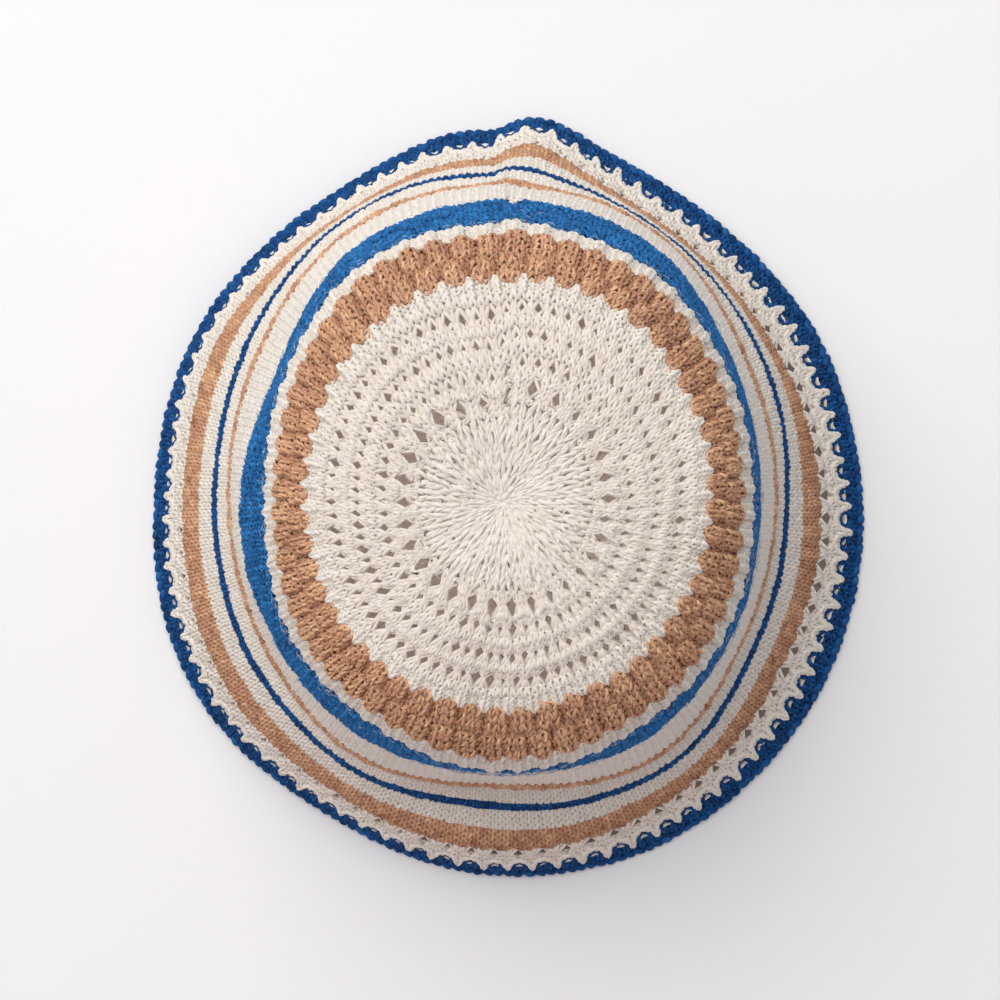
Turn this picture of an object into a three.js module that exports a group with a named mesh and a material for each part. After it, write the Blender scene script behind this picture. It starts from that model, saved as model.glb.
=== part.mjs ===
// Knitted striped hat with a soft turned-down brim, standing on its edge with the crown up.
// Millimetres, +Z up, +Y towards the back seam, origin under the middle of the brim on the table.
import * as THREE from 'three';

// Fabric
const FABRIC_THICKNESS = 2.6;
const BAND_GAP = 0.4;

// Lengths along the fabric, from the gathered centre of the crown outwards
const CREAM_TOP_LENGTH = 70;
const CROWN_LENGTH = 88;
const CROWN_CREAM_LENGTH = 10;
const BLUE_BAND_LENGTH = 20;
const LOWER_SIDE_LENGTH = 38;
const BRIM_ROOT_LENGTH = 9.3;
const UPPER_BRIM_LENGTH = 18.7;
const LOWER_BRIM_LENGTH = 22;
const BLUE_TOP = CROWN_LENGTH + CROWN_CREAM_LENGTH;
const BLUE_FOOT = BLUE_TOP + BLUE_BAND_LENGTH;
const HEADLINE = BLUE_FOOT + LOWER_SIDE_LENGTH;
const BLUE_LINE = HEADLINE + BRIM_ROOT_LENGTH;
const MIDDLE_BRIM = BLUE_LINE + UPPER_BRIM_LENGTH;
const EDGE = MIDDLE_BRIM + LOWER_BRIM_LENGTH;

// Where the gathered centre lies beside the middle of the brim
const GATHER_X = -1.95;
const GATHER_Y = -1.9;

// Outlines of the fabric's middle seen from above: radius from the gathered centre every 30
// degrees, counted from the right side towards the back
const PLAN = [
  { cream: 67.7, crown: 78.9, blue: 86.7, headline: 95.0, line: 99.8, middle: 113.5, edge: 129.0 },
  { cream: 69.6, crown: 81.6, blue: 90.1, headline: 97.6, line: 103.8, middle: 111.7, edge: 128.2 },
  { cream: 73.2, crown: 86.8, blue: 99.5, headline: 106.8, line: 109.2, middle: 114.0, edge: 127.6 },
  { cream: 72.9, crown: 88.1, blue: 101.5, headline: 110.0, line: 115.0, middle: 123.0, edge: 134.2 },
  { cream: 71.6, crown: 86.8, blue: 98.5, headline: 107.1, line: 112.1, middle: 116.5, edge: 126.3 },
  { cream: 67.0, crown: 78.9, blue: 87.7, headline: 98.9, line: 104.7, middle: 116.2, edge: 125.6 },
  { cream: 64.4, crown: 75.0, blue: 88.6, headline: 94.8, line: 100.6, middle: 113.2, edge: 124.9 },
  { cream: 65.0, crown: 78.9, blue: 90.0, headline: 96.3, line: 103.6, middle: 117.8, edge: 130.0 },
  { cream: 66.4, crown: 81.2, blue: 92.0, headline: 101.2, line: 107.2, middle: 119.6, edge: 128.4 },
  { cream: 68.0, crown: 85.2, blue: 91.3, headline: 99.0, line: 106.9, middle: 123.7, edge: 133.8 },
  { cream: 67.0, crown: 83.2, blue: 93.1, headline: 103.2, line: 109.3, middle: 121.7, edge: 135.4 },
  { cream: 67.0, crown: 81.6, blue: 89.4, headline: 96.6, line: 102.7, middle: 116.7, edge: 133.3 },
];

// Folds beside the back seam: how far the fabric stands out at some of the outlines
const FOLDS = [
  { angle: 84.5, spread_before: 5.5, spread_after: 3, headline: -1, line: 0.7, middle: 4.2, edge: 4.4 },
  { angle: 91.5, spread_before: 1.8, spread_after: 3, headline: 0.5, line: 0, middle: -1, edge: -1 },
];

// Section of the cream top: share of its radius, height above the crown's edge, and how far it
// follows the ups and downs of that edge
const CREAM_SECTION = [
  { name: 'gather', length: 0, share: 0, rise: 11.8, follows: 0 },
  { name: 'inner lace', length: 24, share: 0.34, rise: 14.2, follows: 0.08 },
  { name: 'outer lace', length: 50, share: 0.72, rise: 13.4, follows: 0.35 },
  { name: 'tan edge', length: CREAM_TOP_LENGTH, share: 1, rise: 9.6, follows: 0.68 },
];

// Middle of the tan band on the crown: share of the way to the crown's edge, and its height
const TAN_MIDDLE = { length: 80, out: 0.63, rise: 5, follows: 0.87 };

// How far the narrow cream band reaches out over the crown's edge
const CROWN_CREAM_OUT = 4.2;

// Middle of the cream side: share of the way out and down
const SIDE_MIDDLE = { length: 137, share: 0.48 };

// Bands of yarn, each from its own length to the start of the next one
const BANDS = [
  { name: 'crown_top', from: 0, yarn: 'cream', steps: 6 },
  { name: 'crown_tan_band', from: CREAM_TOP_LENGTH, yarn: 'tan', steps: 3 },
  { name: 'crown_cream_band', from: CROWN_LENGTH, yarn: 'cream', steps: 2 },
  { name: 'side_blue_band', from: BLUE_TOP, yarn: 'blue', steps: 2 },
  { name: 'side_cream_band', from: BLUE_FOOT, yarn: 'cream', steps: 3 },
  { name: 'brim_tan_line', from: HEADLINE - 1.4, yarn: 'tan', steps: 1 },
  { name: 'brim_cream_line', from: HEADLINE + 1.6, yarn: 'cream', steps: 1 },
  { name: 'brim_blue_line', from: HEADLINE + 7.7, yarn: 'blue', steps: 1 },
  { name: 'brim_cream_band', from: HEADLINE + 11, yarn: 'cream', steps: 1 },
  { name: 'brim_tan_band', from: MIDDLE_BRIM - 10, yarn: 'tan', steps: 1 },
  { name: 'brim_lace_band', from: MIDDLE_BRIM, yarn: 'cream', steps: 3 },
  { name: 'brim_blue_edging', from: MIDDLE_BRIM + 13, yarn: 'blue', steps: 2 },
];

// Rings of eyelets cut through a band: where the first one starts, and how far the ring is turned
// towards one angle and away from the other side of the hat
const EYELETS = [
  { band: 'crown_top', count: 30, from: 33, to: 37.5, open: 0.42, start: 5, turned: 6.5, turned_at: 215 },
  {
    band: 'brim_lace_band',
    count: 90,
    from: MIDDLE_BRIM + 1.4,
    to: MIDDLE_BRIM + 4.8,
    open: 0.4,
    start: 0,
    turned: 0,
    turned_at: 0,
  },
];

// Step in the rounds of the cream top at the back seam: how far they lie inwards after it and
// outwards before it, and the angles over which that fades
const SEAM_STEP = { angle: 91, inwards: 4.2, fades_after: 70, outwards: 1.2, fades_before: 40 };

const YARNS = {
  cream: { color: 0xe6ddd0, roughness: 0.9, metalness: 0 },
  tan: { color: 0xc69a74, roughness: 0.9, metalness: 0 },
  blue: { color: 0x2b6ba5, roughness: 0.9, metalness: 0 },
};

// Angles of the plain bands, closer together round the pleat
const EVEN_ANGLES = 56;
const PLEAT_ANGLES = [78, 81, 83, 85, 87, 89, 92, 94];
const TURN = 360;

// Value of a smooth curve at a place among rows of rising key
function smoothBetween(place, before, start, end, after) {
  const span = end.key - start.key;
  const t = (place - start.key) / span;
  const startSlope = ((end.value - before.value) / (end.key - before.key)) * span;
  const endSlope = ((after.value - start.value) / (after.key - start.key)) * span;
  const t2 = t * t;
  const t3 = t2 * t;
  return start.value * (2 * t3 - 3 * t2 + 1) + startSlope * (t3 - 2 * t2 + t)
    + end.value * (3 * t2 - 2 * t3) + endSlope * (t3 - t2);
}

// Radius of one of the plan's outlines at an angle, without the folds
function planRadius(angle, outline) {
  const turned = THREE.MathUtils.euclideanModulo(angle, TURN);
  const step = TURN / PLAN.length;
  const first = Math.floor(turned / step);
  const row = (i) => ({
    key: (first + i) * step,
    value: PLAN[THREE.MathUtils.euclideanModulo(first + i, PLAN.length)][outline],
  });
  return smoothBetween(turned, row(-1), row(0), row(1), row(2));
}

// How far the folds push an outline out at an angle
function foldOut(angle, outline) {
  return FOLDS.reduce((sum, fold) => {
    const away = THREE.MathUtils.euclideanModulo(angle - fold.angle + TURN / 2, TURN) - TURN / 2;
    const spread = away < 0 ? fold.spread_before : fold.spread_after;
    return sum + (fold[outline] ?? 0) * Math.exp(-0.5 * (away / spread) ** 2);
  }, 0);
}

// Drop of a piece of fabric of one length that reaches out by a given distance
function dropOf(length, out) {
  return Math.sqrt(length ** 2 - out ** 2);
}

// Heights of the outlines over the table, from how far each piece of fabric reaches out
function heightsOf({ crown, blue, headline, line, middle, edge }) {
  const middleHeight = dropOf(LOWER_BRIM_LENGTH, edge - middle);
  const lineHeight = middleHeight + dropOf(UPPER_BRIM_LENGTH, middle - line);
  const headlineHeight = lineHeight + dropOf(BRIM_ROOT_LENGTH, line - headline);
  const blueHeight = headlineHeight + dropOf(LOWER_SIDE_LENGTH, headline - blue);
  const blueTopHeight = blueHeight + dropOf(BLUE_BAND_LENGTH, blue - crown - CROWN_CREAM_OUT);
  const crownHeight = blueTopHeight + dropOf(CROWN_CREAM_LENGTH, CROWN_CREAM_OUT);
  return { middleHeight, lineHeight, headlineHeight, blueHeight, blueTopHeight, crownHeight };
}

// Height of the crown's edge with mean radii all round
const OUTLINES = ['cream', 'crown', 'blue', 'headline', 'line', 'middle', 'edge'];
const MEAN_CROWN_HEIGHT = heightsOf(Object.fromEntries(OUTLINES.map((outline) => [
  outline, PLAN.reduce((sum, row) => sum + row[outline], 0) / PLAN.length]))).crownHeight;

// Rows of length, radius and height that the section at an angle passes through
function sectionRows(angle) {
  const even = Object.fromEntries(OUTLINES.map((outline) => [outline, planRadius(angle, outline)]));
  const heights = heightsOf(even);
  const [cream, crown, blue, headline, line, middle, edge] = OUTLINES
    .map((outline) => even[outline] + foldOut(angle, outline));
  const topHeight = ({ rise, follows }) => rise
    + THREE.MathUtils.lerp(MEAN_CROWN_HEIGHT, heights.crownHeight, follows);
  const row = (length, radius, height) => ({ length, radius, height });
  const between = (inner, outer) => THREE.MathUtils.lerp(inner, outer, SIDE_MIDDLE.share);
  return [
    ...CREAM_SECTION.map((place) => row(place.length, cream * place.share, topHeight(place))),
    row(TAN_MIDDLE.length, THREE.MathUtils.lerp(cream, crown, TAN_MIDDLE.out), topHeight(TAN_MIDDLE)),
    row(CROWN_LENGTH, crown, heights.crownHeight),
    row(BLUE_TOP, crown + CROWN_CREAM_OUT, heights.blueTopHeight),
    row(BLUE_FOOT, blue, heights.blueHeight),
    row(SIDE_MIDDLE.length, between(blue, headline), between(heights.blueHeight, heights.headlineHeight)),
    row(HEADLINE, headline, heights.headlineHeight),
    row(BLUE_LINE, line, heights.lineHeight),
    row(MIDDLE_BRIM, middle, heights.middleHeight),
    row(EDGE, edge, 0),
  ];
}

// How far the rounds of the cream top lie out of line beside the back seam
function seamStep(angle, length) {
  const strength = Math.sin(Math.PI * Math.min(length / CREAM_TOP_LENGTH, 1));
  const after = THREE.MathUtils.euclideanModulo(angle - SEAM_STEP.angle, TURN);
  const inwards = SEAM_STEP.inwards * (1 - THREE.MathUtils.smoothstep(after, 0, SEAM_STEP.fades_after));
  const before = TURN - after;
  const outwards = SEAM_STEP.outwards * (1 - THREE.MathUtils.smoothstep(before, 0, SEAM_STEP.fades_before));
  return strength * (outwards - inwards);
}

// Radius and height of the fabric's middle at an angle and a length
function sectionPoint(rows, length) {
  const last = rows.length - 1;
  const after = rows.findIndex((row, i) => i > 0 && (length <= row.length || i === last));
  const pick = (i, column) => {
    const row = rows[THREE.MathUtils.clamp(i, 0, last)];
    const beyond = i < 0 ? -1 : i > last ? 1 : 0;
    return { key: row.length + beyond, value: row[column] };
  };
  const column = (name) => smoothBetween(
    length, pick(after - 2, name), pick(after - 1, name), pick(after, name), pick(after + 1, name));
  return new THREE.Vector2(column('radius'), column('height'));
}

// Point on the outer (side 1) or inner (side -1) face of the fabric
function facePoint(angle, length, side) {
  const rows = sectionRows(angle);
  const reach = 0.5;
  const here = sectionPoint(rows, length);
  const ahead = sectionPoint(rows, Math.min(length + reach, EDGE));
  const behind = sectionPoint(rows, Math.max(length - reach, 0));
  const along = ahead.sub(behind).normalize();
  const isCentre = length === 0;
  const isEdge = length === EDGE;
  const half = side * FABRIC_THICKNESS / 2;
  const radius = isCentre ? 0 : here.x - along.y * half;
  const height = isEdge ? 0 : here.y + (isCentre ? 1 : along.x) * half;
  const turn = THREE.MathUtils.degToRad(angle);
  return new THREE.Vector3(
    GATHER_X + radius * Math.cos(turn), GATHER_Y + radius * Math.sin(turn), height);
}

// Closed shell over a grid of angles and lengths, with the cells named open left out
function fabricShell(angles, lengths, isOpen) {
  const columns = angles.length;
  const rows = lengths.length;
  const hasCentre = lengths[0] === 0;
  const positions = [];
  const faces = [];
  for (const side of [1, -1]) {
    for (const angle of angles) {
      for (const length of lengths) {
        const stepped = length + seamStep(angle, length);
        positions.push(...facePoint(angle, stepped, side).toArray());
      }
    }
  }
  const vertex = (side, column, row) => {
    const ring = hasCentre && row === 0 ? 0 : column % columns;
    return side * columns * rows + ring * rows + row;
  };
  const quad = (a, b, c, d) => {
    if (a !== b) faces.push(a, b, c);
    if (c !== d) faces.push(a, c, d);
  };
  const isSolid = (column, row) => row >= 0 && row < rows - 1 && !isOpen((column + columns) % columns, row);
  const outer = 0;
  const inner = 1;
  const rim = (fromColumn, fromRow, toColumn, toRow) => quad(
    vertex(outer, fromColumn, fromRow), vertex(inner, fromColumn, fromRow),
    vertex(inner, toColumn, toRow), vertex(outer, toColumn, toRow));
  for (let column = 0; column < columns; column += 1) {
    for (let row = 0; row < rows - 1; row += 1) {
      if (!isSolid(column, row)) continue;
      quad(vertex(outer, column, row), vertex(outer, column, row + 1),
        vertex(outer, column + 1, row + 1), vertex(outer, column + 1, row));
      quad(vertex(inner, column + 1, row), vertex(inner, column + 1, row + 1),
        vertex(inner, column, row + 1), vertex(inner, column, row));
      const isCentre = hasCentre && row === 0;
      if (!isSolid(column, row - 1) && !isCentre) rim(column + 1, row, column, row);
      if (!isSolid(column, row + 1)) rim(column, row + 1, column + 1, row + 1);
      if (!isSolid(column - 1, row)) rim(column, row, column, row + 1);
      if (!isSolid(column + 1, row)) rim(column + 1, row + 1, column + 1, row);
    }
  }
  const geometry = new THREE.BufferGeometry();
  geometry.setAttribute('position', new THREE.Float32BufferAttribute(positions, 3));
  geometry.setIndex(faces);
  return geometry;
}

// Angles of a plain band
function plainAngles() {
  const nearPleat = (angle) => angle > PLEAT_ANGLES[0] - 2 && angle < PLEAT_ANGLES.at(-1) + 2;
  const even = Array.from({ length: EVEN_ANGLES }, (_, i) => (i * TURN) / EVEN_ANGLES);
  return [...even.filter((angle) => !nearPleat(angle)), ...PLEAT_ANGLES].sort((a, b) => a - b);
}

// Angles of a pierced band: an eyelet and the bar beside it, in turn
function piercedAngles({ count, open, start, turned, turned_at: turnedAt }) {
  return Array.from({ length: count }, (_, i) => [i, i + open])
    .flat()
    .map((place) => start + (place * TURN) / count)
    .map((angle) => angle + turned * Math.cos(THREE.MathUtils.degToRad(angle - turnedAt)));
}

// Evenly spaced lengths from one end of a band to the other
function evenLengths(from, to, steps) {
  return Array.from({ length: steps + 1 }, (_, i) => THREE.MathUtils.lerp(from, to, i / steps));
}

// Lengths of a pierced band, with one step across its eyelets
function piercedLengths(from, to, eyelet, steps) {
  const stepsBefore = from === 0 ? 2 : 1;
  const stepsAfter = steps - stepsBefore - 1;
  return [...evenLengths(from, eyelet.from, stepsBefore), ...evenLengths(eyelet.to, to, stepsAfter)];
}

function bandGeometry(band, next) {
  const from = band.from === 0 ? 0 : band.from + BAND_GAP / 2;
  const to = next ? next.from - BAND_GAP / 2 : EDGE;
  const eyelet = EYELETS.find((ring) => ring.band === band.name);
  if (!eyelet) return fabricShell(plainAngles(), evenLengths(from, to, band.steps), () => false);
  const lengths = piercedLengths(from, to, eyelet, band.steps);
  const eyeletRow = lengths.indexOf(eyelet.from);
  const isOpen = (column, row) => row === eyeletRow && column % 2 === 0;
  return fabricShell(piercedAngles(eyelet), lengths, isOpen);
}

const hat = new THREE.Group();
hat.name = 'knitted_hat';
BANDS.forEach((band, i) => {
  const material = new THREE.MeshStandardMaterial({ name: `${band.yarn}_yarn`, ...YARNS[band.yarn] });
  const mesh = new THREE.Mesh(bandGeometry(band, BANDS[i + 1]), material);
  mesh.name = band.name;
  hat.add(mesh);
});

export default hat;
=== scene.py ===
"""Knitted striped hat, stitch by stitch, over the frame of its bands."""

import math
from collections import namedtuple

import bpy
import numpy as np
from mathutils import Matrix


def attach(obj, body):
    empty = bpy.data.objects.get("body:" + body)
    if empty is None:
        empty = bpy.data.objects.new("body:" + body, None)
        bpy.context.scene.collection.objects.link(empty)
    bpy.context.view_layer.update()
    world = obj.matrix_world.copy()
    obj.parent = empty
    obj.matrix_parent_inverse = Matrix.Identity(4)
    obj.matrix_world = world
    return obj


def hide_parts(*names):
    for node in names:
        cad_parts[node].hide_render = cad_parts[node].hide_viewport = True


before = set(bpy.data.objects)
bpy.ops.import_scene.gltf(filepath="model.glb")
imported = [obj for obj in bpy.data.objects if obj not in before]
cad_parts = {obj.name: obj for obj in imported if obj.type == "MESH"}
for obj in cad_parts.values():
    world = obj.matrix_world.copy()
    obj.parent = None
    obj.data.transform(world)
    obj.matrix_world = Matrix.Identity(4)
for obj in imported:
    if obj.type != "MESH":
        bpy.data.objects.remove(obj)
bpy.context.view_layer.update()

# Sizes of the hat are in millimetres, angles in degrees, and both turn into Blender's own at the end
MM = 0.001
TURN = 360.0
rng = np.random.default_rng(seed=20)

# Lengths along the fabric, from the gathered centre of the crown outwards
CREAM_TOP = 70.0
CROWN = 88.0
CROWN_CREAM_LENGTH = 10.0
BLUE_BAND_LENGTH = 20.0
LOWER_SIDE_LENGTH = 38.0
BRIM_ROOT_LENGTH = 9.3
UPPER_BRIM_LENGTH = 18.7
LOWER_BRIM_LENGTH = 22.0
LACE_LENGTH = 9.0
BLUE_TOP = CROWN + CROWN_CREAM_LENGTH
BLUE_FOOT = BLUE_TOP + BLUE_BAND_LENGTH
HEADLINE = BLUE_FOOT + LOWER_SIDE_LENGTH
BLUE_LINE = HEADLINE + BRIM_ROOT_LENGTH
MIDDLE_BRIM = BLUE_LINE + UPPER_BRIM_LENGTH
LACE_FOOT = MIDDLE_BRIM + LACE_LENGTH
EDGE = MIDDLE_BRIM + LOWER_BRIM_LENGTH

# Where the yarns of the brim change, and where the rope along its rim begins and ends
TAN_LINE_TOP = HEADLINE - 1.4
TAN_LINE_FOOT = HEADLINE + 1.6
BLUE_LINE_TOP = HEADLINE + 7.7
BLUE_LINE_FOOT = HEADLINE + 11.0
TAN_BRIM_TOP = MIDDLE_BRIM - 10.0
EDGING_FOOT = EDGE - 3.6
ROPE_TOP = EDGE - 3.7
ROPE_FOOT = EDGE - 0.5

# Where the gathered centre lies beside the middle of the brim
GATHER = (-1.95, -1.9)

# Outlines of the fabric's middle seen from above: the radius of each one every 30 degrees
OUTLINES = ("cream", "crown", "blue", "headline", "line", "middle", "edge")
PLAN = (
    (67.7, 78.9, 86.7, 95.0, 99.8, 113.5, 129.0),
    (69.6, 81.6, 90.1, 97.6, 103.8, 111.7, 128.2),
    (73.2, 86.8, 99.5, 106.8, 109.2, 114.0, 127.6),
    (72.9, 88.1, 101.5, 110.0, 115.0, 123.0, 134.2),
    (71.6, 86.8, 98.5, 107.1, 112.1, 116.5, 126.3),
    (67.0, 78.9, 87.7, 98.9, 104.7, 116.2, 125.6),
    (64.4, 75.0, 88.6, 94.8, 100.6, 113.2, 124.9),
    (65.0, 78.9, 90.0, 96.3, 103.6, 117.8, 130.0),
    (66.4, 81.2, 92.0, 101.2, 107.2, 119.6, 128.4),
    (68.0, 85.2, 91.3, 99.0, 106.9, 123.7, 133.8),
    (67.0, 83.2, 93.1, 103.2, 109.3, 121.7, 135.4),
    (67.0, 81.6, 89.4, 96.6, 102.7, 116.7, 133.3),
)

# Folds beside the back seam: angle, spread before and after it, and the push at some outlines
FOLDS = (
    (84.5, 5.5, 3.0, {"headline": -1.0, "line": 0.7, "middle": 4.2, "edge": 4.4}),
    (91.5, 1.8, 3.0, {"headline": 0.5, "middle": -1.0, "edge": -1.0}),
)

# Section of the cream top: length, share of its radius, height over the crown's edge, and how far
# it follows the ups and downs of that edge
CREAM_SECTION = (
    (0.0, 0.0, 11.8, 0.0),
    (24.0, 0.34, 14.2, 0.08),
    (50.0, 0.72, 13.4, 0.35),
    (CREAM_TOP, 1.0, 9.6, 0.68),
)

# Middle of the tan band on the crown: length, share of the way out, height, and how far it follows
TAN_MIDDLE = (80.0, 0.63, 5.0, 0.87)

# How far the narrow cream band reaches out over the crown's edge
CROWN_CREAM_OUT = 4.2

# Middle of the cream side: length, and share of the way out and down
SIDE_MIDDLE = (137.0, 0.48)

# Yarns: how many strands are twisted together, how thick they are, how far they lie from the
# middle of the yarn, the length of one turn of the twist, how many sides a strand has, and how many
# points it takes through a stitch
Yarn = namedtuple("Yarn", "strands radius spread twist sides points")
CENTRE_YARN = Yarn(2, 0.6, 0.36, 16.0, 4, 8)
BRAID_YARN = Yarn(2, 0.72, 0.44, 14.0, 4, 8)
LACE_YARN = Yarn(1, 0.88, 0.0, 7.0, 4, 6)
POINT_YARN = Yarn(1, 0.9, 0.0, 7.0, 4, 6)
RIB_YARN = Yarn(2, 0.58, 0.42, 5.5, 4, 8)
SCALLOP_YARN = Yarn(1, 0.95, 0.0, 7.0, 4, 6)
BLUE_YARN = Yarn(1, 0.88, 0.0, 7.0, 4, 6)
SIDE_YARN = Yarn(1, 0.9, 0.0, 7.0, 4, 6)
BRIM_YARN = Yarn(1, 0.92, 0.0, 7.0, 4, 6)
LINE_YARN = Yarn(1, 0.9, 0.0, 7.0, 4, 6)
TOOTH_YARN = Yarn(3, 0.58, 0.48, 7.0, 4, 12)
EDGING_YARN = Yarn(1, 1.0, 0.0, 7.0, 4, 6)
ROPE_YARN = Yarn(1, 1.6, 0.42, 3.7, 6, 10)

# Courses of stitches. First line: piece, first and last length, rows, stitches round the hat, and the
# angle of the first one. Second line: yarn, height of a loop in rows, lean of its legs, its depth, its
# pattern, how far the last row stands out, and how uneven the stitches are
Course = namedtuple(
    "Course",
    "piece first last rows stitches start yarn loop lean depth pattern overhang unevenness",
    defaults=(0.0, 1.0),
)
COURSES = (
    Course("crown_centre", 0.6, 6.0, 2, 11, 7.5,
           CENTRE_YARN, 1.8, 1.2, 0.5, "knit"),
    Course("crown_centre", 6.0, 13.0, 2, 20, 7.5,
           CENTRE_YARN, 2.2, 1.5, 0.5, "knit", unevenness=1.5),
    Course("crown_centre", 13.0, 22.0, 3, 30, 7.5,
           BRAID_YARN, 2.4, 1.7, 0.6, "knit", unevenness=1.8),
    Course("crown_centre", 22.0, 31.5, 3, 40, 7.5,
           BRAID_YARN, 2.2, 1.8, 0.6, "knit", unevenness=1.8),
    Course("crown_lace", 31.5, 39.1, 4, 90, 5.5,
           LACE_YARN, 1.6, 2.0, 0.5, "eyelets"),
    Course("crown_lace", 39.1, 48.85, 3, 120, 6.0,
           LACE_YARN, 1.6, 2.0, 0.5, "lace", unevenness=1.2),
    Course("crown_lace", 48.85, 57.2, 3, 160, 0.875,
           LACE_YARN, 1.6, 2.0, 0.5, "lace", unevenness=1.2),
    Course("crown_lace", 57.2, 65.7, 3, 160, 2.875,
           LACE_YARN, 1.6, 2.0, 0.5, "lace", unevenness=1.2),
    Course("crown_lace", 65.7, 70.5, 3, 156, 0.58,
           POINT_YARN, 1.5, 2.0, 0.4, "points", unevenness=1.2),
    Course("crown_tan_band", 70.5, 79.0, 4, 156, 0.58,
           RIB_YARN, 1.5, 2.0, 0.6, "upper rib", unevenness=2.0),
    Course("crown_tan_band", 79.0, CROWN, 4, 180, -1.0,
           RIB_YARN, 1.5, 2.0, 0.7, "rib", unevenness=2.0),
    Course("crown_cream_band", CROWN, 97.2, 5, 180, 2.0,
           SCALLOP_YARN, 1.6, 2.0, 0.6, "scallops", unevenness=1.5),
    Course("side_blue_band", 98.6, BLUE_FOOT, 8, 180, -0.2,
           BLUE_YARN, 1.4, 2.0, 0.9, "knit", unevenness=2.2),
    Course("side_cream_band", BLUE_FOOT, TAN_LINE_TOP, 10, 216, 0.0,
           SIDE_YARN, 1.4, 2.0, 0.2, "knit"),
    Course("brim_tan_line", TAN_LINE_TOP, TAN_LINE_FOOT, 1, 270, 0.8,
           LINE_YARN, 1.2, 1.6, 0.3, "knit", overhang=0.5, unevenness=1.6),
    Course("brim_cream_line", TAN_LINE_FOOT, BLUE_LINE_TOP, 3, 270, 0.8,
           BRIM_YARN, 1.2, 1.9, 0.22, "knit"),
    Course("brim_blue_line", BLUE_LINE_TOP, BLUE_LINE_FOOT, 1, 270, 0.8,
           LINE_YARN, 0.9, 1.7, 0.4, "knit", overhang=0.2, unevenness=1.2),
    Course("brim_cream_band", BLUE_LINE_FOOT, TAN_BRIM_TOP, 3, 270, 0.8,
           BRIM_YARN, 1.2, 1.9, 0.22, "knit"),
    Course("brim_tan_band", TAN_BRIM_TOP, MIDDLE_BRIM, 4, 270, 0.8,
           BRIM_YARN, 1.2, 1.9, 0.25, "knit"),
    Course("brim_lace_band", MIDDLE_BRIM, LACE_FOOT, 3, 270, 0.8,
           BRIM_YARN, 1.2, 1.9, 0.25, "knit", overhang=0.3),
    Course("brim_blue_edging", LACE_FOOT, EDGING_FOOT, 3, 270, 0.8,
           EDGING_YARN, 1.2, 1.9, 0.4, "knit", unevenness=0.8),
    Course("brim_blue_edging", ROPE_TOP, ROPE_FOOT, 1, 216, 0.8,
           ROPE_YARN, 0.0, 0.0, 0.0, "knit"),
)

# Charts of the stitches, row by row, each row repeated round the hat: how far a stitch is raised
KNIT = 0.0
BUMP = 0.4
RAISED = 0.45
SUNK = -0.4
POINT = 0.45
BETWEEN = -0.25
SCALLOP = 0.5
HOLLOW = -0.3
RIB_ROW = (SUNK, RAISED, RAISED)
CHARTS = {
    "knit": ((KNIT,),),
    "eyelets": ((KNIT,), (KNIT,), (KNIT,), (BUMP,)),
    "lace": ((KNIT,), (KNIT,), (BUMP,)),
    "points": ((POINT, BETWEEN, BETWEEN),),
    "scallops": ((SCALLOP, KNIT, HOLLOW),),
    "rib": (RIB_ROW,),
    "upper rib": (RIB_ROW, RIB_ROW, RIB_ROW, (BETWEEN,)),
}

# How far a stitch's foot lies behind the next row, in depths of the stitch, and how sharply it bends
TUCK = 1.4
TUCK_SHARPNESS = 3

# How uneven the stitches are: their place as a share of a stitch, the height of their loops, their row
# as a share of its width, and how far they stand out
UNEVEN_PLACE = 0.05
UNEVEN_LOOP = 0.08
UNEVEN_ROW = 0.06
UNEVEN_LIFT = 0.1

# How uneven the strands of a yarn are: their twist, how far they lie apart, and their thickness
UNEVEN_TWIST = 0.5
UNEVEN_SPREAD = 0.2
UNEVEN_RADIUS = 0.07

# A strand's fibres start anywhere along this length, so that no two strands look the same
STRAND_SHIFT = 1000.0

# Rounds of teeth of the lace band over the edging: how many, angle of the first, first and last
# length, half their width as a share of the way to the next one, and how far they stand out
TEETH = (
    (90, 2.8, LACE_FOOT - 3.0, LACE_FOOT + 4.6, 0.17, 1.1),
    (90, 2.8, LACE_FOOT - 2.5, LACE_FOOT + 2.2, 0.13, 1.3),
    (90, 2.8, LACE_FOOT + 3.0, LACE_FOOT + 3.0, 0.15, -1.2),
)

# How much shorter the teeth are on the side away from an angle
TEETH_SHORTER = 0.32
TEETH_LONGEST_AT = 330.0

# Shape of a tooth: how its points crowd towards the tip, how sharp it is, and how far its foot stands
# out as a share of the tip
TOOTH_CROWDING = 0.6
TOOTH_SHARPNESS = 1.8
TOOTH_FOOT = 0.3

# How uneven the teeth are: their length, and their place as a share of the way to the next one
UNEVEN_TOOTH = 0.12
UNEVEN_TOOTH_PLACE = 0.04

# How much of a stitch's own depth counts in the relief that sets the painted shade of its colour
STITCH_SHARE = 0.3

# Rings of eyelets in the fabric: length, how many, angle of the first, half width round the hat and
# outwards, how uneven they are, how far the fabric dips round them, how much wider they are towards
# one side, and the angle of that side
EYELETS = (
    (35.7, 30, 7.5, 2.3, 3.7, 0.07, 0.9, 0.12, 215.0),
    (43.0, 60, 7.5, 1.8, 2.4, 0.13, 1.2, 0.12, 215.0),
    (52.2, 80, 2.0, 1.9, 2.35, 0.13, 1.3, 0.12, 215.0),
    (60.6, 80, 4.0, 1.95, 2.35, 0.13, 1.3, 0.12, 215.0),
    (MIDDLE_BRIM + 2.0, 90, 0.8, 2.4, 2.7, 0.1, 0.4, 0.3, 335.0),
    (LACE_FOOT + 3.0, 90, 0.8, 1.8, 2.6, 0.1, 0.0, 0.15, 330.0),
)

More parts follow.
